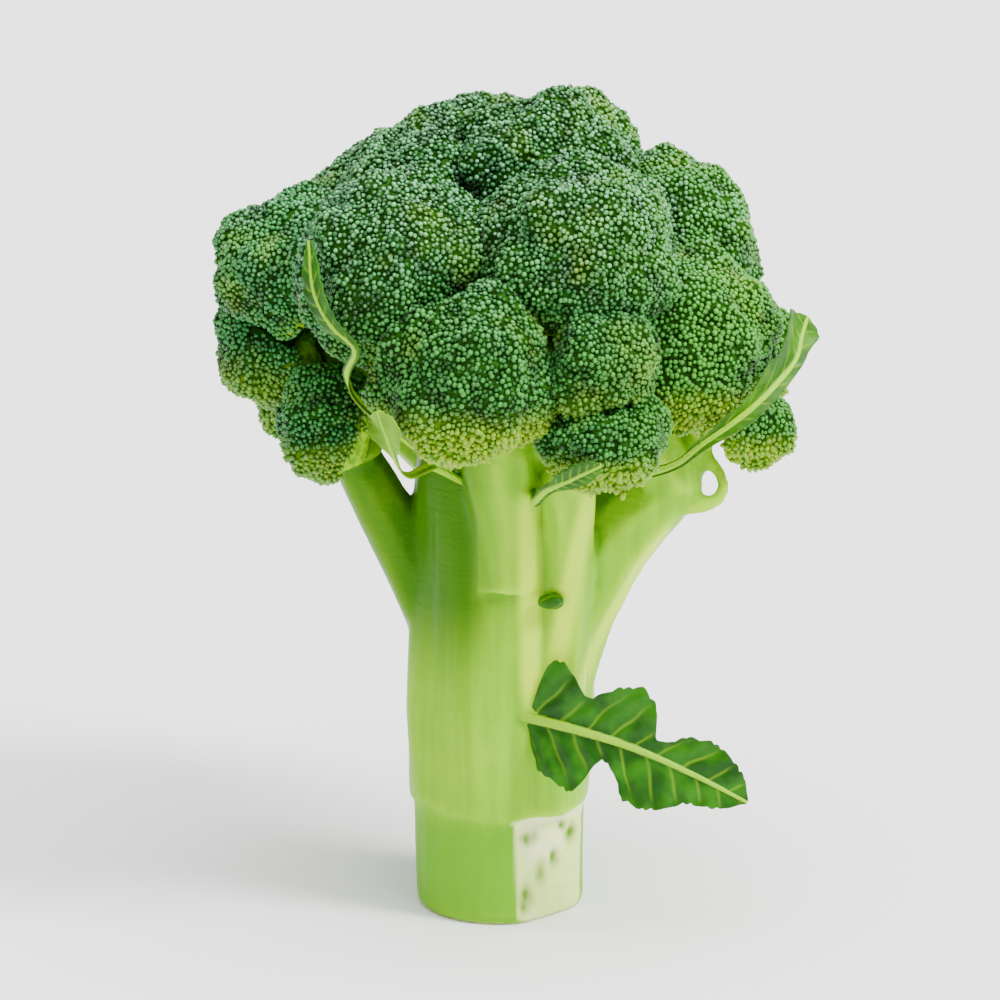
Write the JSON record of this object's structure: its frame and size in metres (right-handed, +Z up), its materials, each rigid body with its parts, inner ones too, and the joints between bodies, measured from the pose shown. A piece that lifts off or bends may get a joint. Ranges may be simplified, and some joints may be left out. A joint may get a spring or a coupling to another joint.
{
  "type": "broccoli head",
  "caption": "Fresh broccoli head: a domed crown of bud-covered florets on a thick forked stalk, standing on its flat cut end, with a few small lobed leaves.",
  "frame": {"origin": "middle of the flat cut at the stalk's base", "axes": "+Z up along the stalk towards the crown, -Y towards the side that the picture shows, +X to that view's right"},
  "size_m": [0.1269, 0.1229, 0.1767],
  "materials": {
    "stalk": "smooth waxy pale green skin",
    "buds": "dense small waxy buds, dark blue-green",
    "leaf": "thin satin leaf with pale veins"
  },
  "bodies": {
    "root": {"stalk": "stalk", "floret_top_left": "buds", "floret_top_right": "buds", "floret_top_back": "buds", "floret_shoulder_right": "buds", "floret_shoulder_back": "buds", "floret_upper_left": "buds", "floret_upper_front": "buds", "floret_front": "buds", "floret_low_front": "buds", "floret_right": "buds", "floret_far_right": "buds", "floret_low_right": "buds", "floret_left_high": "buds", "floret_left": "buds", "floret_low_left": "buds", "floret_back_left": "buds", "floret_back": "buds", "floret_back_right": "buds", "floret_low_back_left": "buds", "floret_low_back": "buds", "floret_low_back_right": "buds", "floret_mid_front": "buds", "leaf_low_right": "leaf", "leaf_right": "leaf", "leaf_left": "leaf", "bract_left": "leaf", "bract_low": "leaf", "side_bud": "leaf"}
  },
  "joints": []
}
